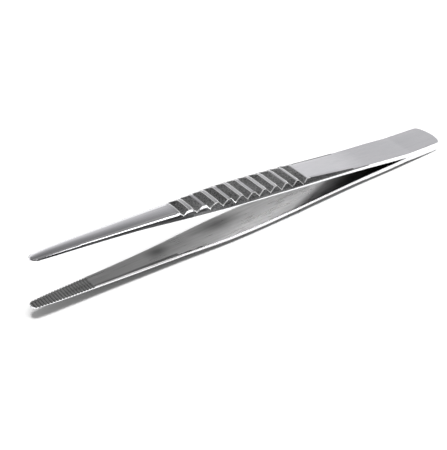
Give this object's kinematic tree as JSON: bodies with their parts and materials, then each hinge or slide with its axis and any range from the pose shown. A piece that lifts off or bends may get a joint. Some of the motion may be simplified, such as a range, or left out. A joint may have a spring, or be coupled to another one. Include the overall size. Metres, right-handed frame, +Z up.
{
  "type": "thumb forceps",
  "caption": "Flat sprung steel arms welded at the heel, with a fluted finger grip and tapered, serrated jaws that close between thumb and finger.",
  "frame": {"origin": "centre of the bounding box on the ground, under the forceps as it lies", "axes": "+X from the welded heel to the tips, +Y across the arms, +Z up, the way the arms open"},
  "size_m": [0.1402, 0.0106, 0.0178],
  "materials": {
    "stainless_steel": "polished outside, satin inside"
  },
  "bodies": {
    "lower_arm": {"lower_arm": "stainless_steel"},
    "upper_arm": {"upper_arm": "stainless_steel"}
  },
  "joints": [
    {"name": "arm_squeeze", "type": "hinge", "parent": "lower_arm", "child": "upper_arm", "pos_m": [-0.05408, 0, 0.00245], "axis": [0, 1, 0], "range_deg": [0, 6], "stiffness_Nm_per_rad": 2.3}
  ]
}
